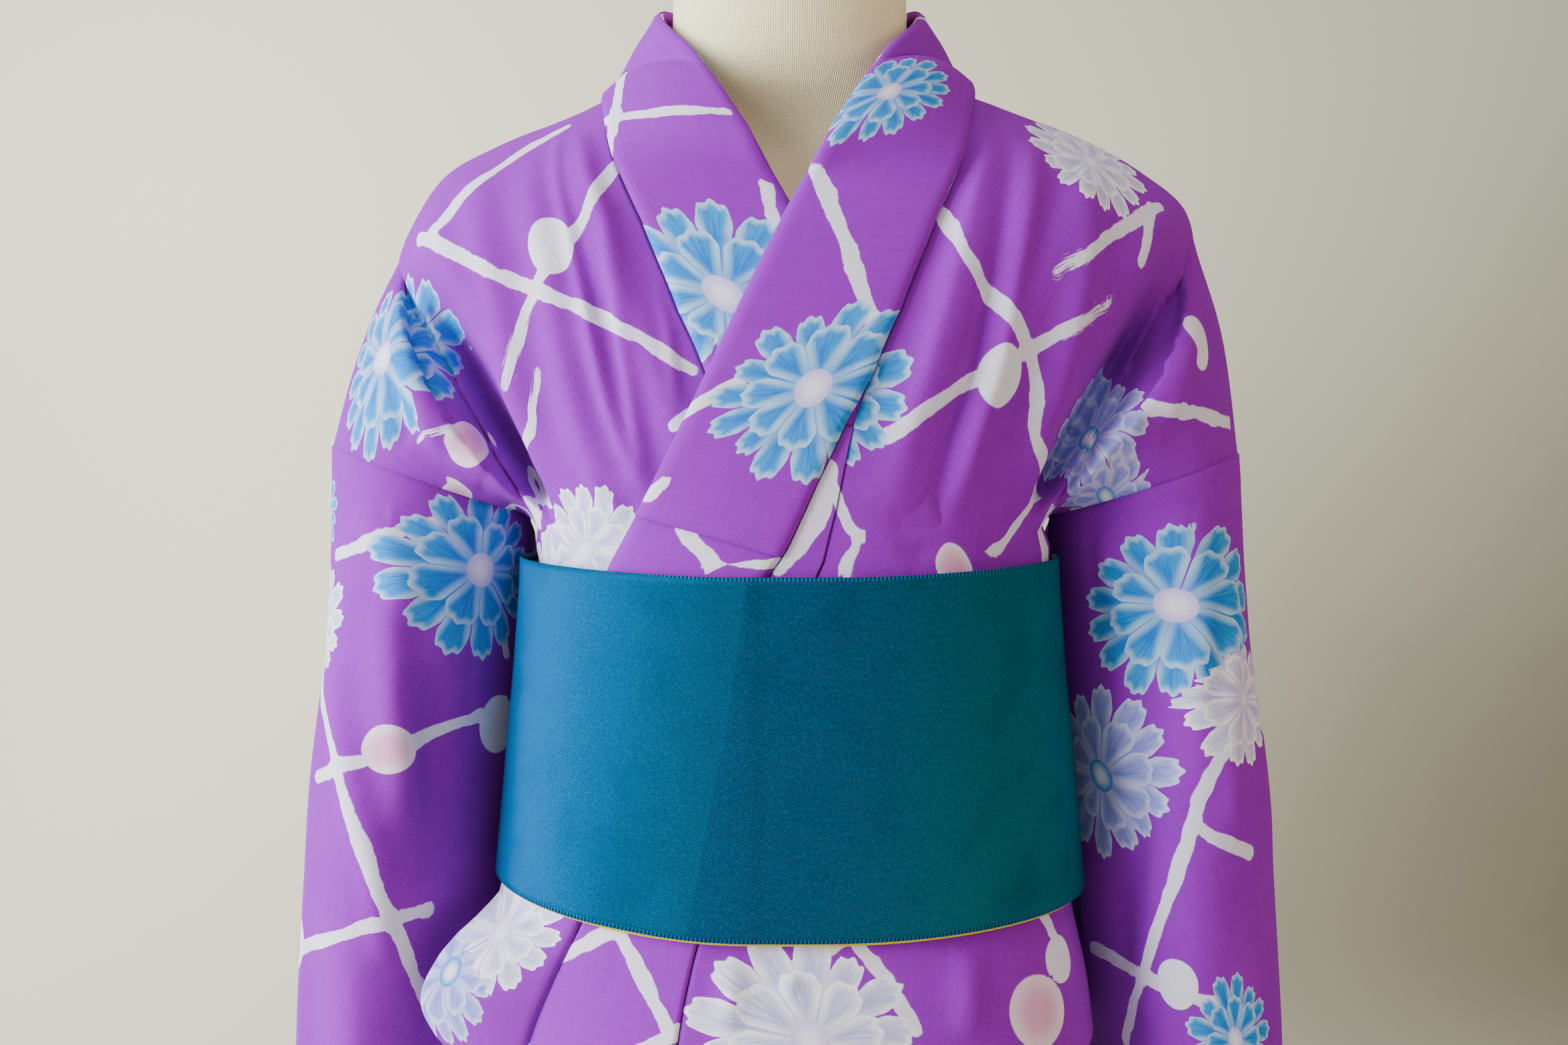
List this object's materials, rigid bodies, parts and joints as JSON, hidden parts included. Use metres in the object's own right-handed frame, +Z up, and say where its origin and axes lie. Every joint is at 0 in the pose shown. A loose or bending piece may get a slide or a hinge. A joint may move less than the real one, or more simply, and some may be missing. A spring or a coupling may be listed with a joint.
{
  "type": "yukata robe on a dress form",
  "caption": "Wide-sleeved cotton robe in the yukata cut, wrapped left over right and held by a flat obi tied at the back, on a limbless dress form with a round stand.",
  "frame": {"origin": "centre of the stand's underside", "axes": "+Z up along the stand pole, front of the robe faces -Y, +X is the wearer's left"},
  "size_m": [0.5224, 0.32, 1.4603],
  "materials": {
    "printed_cotton": "plain-woven purple cotton with a printed lattice, blue and white flowers and dots",
    "obi_satin": "teal twill satin with a ribbed selvedge and a yellow back",
    "form_cover": "cream knitted cover, fine upright ribs",
    "cap_wood": "turned wood, satin varnish",
    "stand_metal": "smooth grey powder coat"
  },
  "bodies": {
    "root": {"stand_base": "stand_metal", "stand_pole": "stand_metal", "form_torso": "form_cover", "form_neck_cap": "cap_wood", "body_left": "printed_cotton", "body_right": "printed_cotton", "okumi_left": "printed_cotton", "okumi_right": "printed_cotton", "collar": "printed_cotton", "over_collar": "printed_cotton", "sleeve_left": "printed_cotton", "sleeve_right": "printed_cotton", "skirt_body_left": "printed_cotton", "skirt_body_right": "printed_cotton", "skirt_okumi_left": "printed_cotton", "skirt_okumi_right": "printed_cotton", "obi_inner_wrap": "obi_satin", "obi_outer_wrap": "obi_satin", "obi_fold": "obi_satin", "obi_tie": "obi_satin"}
  },
  "joints": []
}
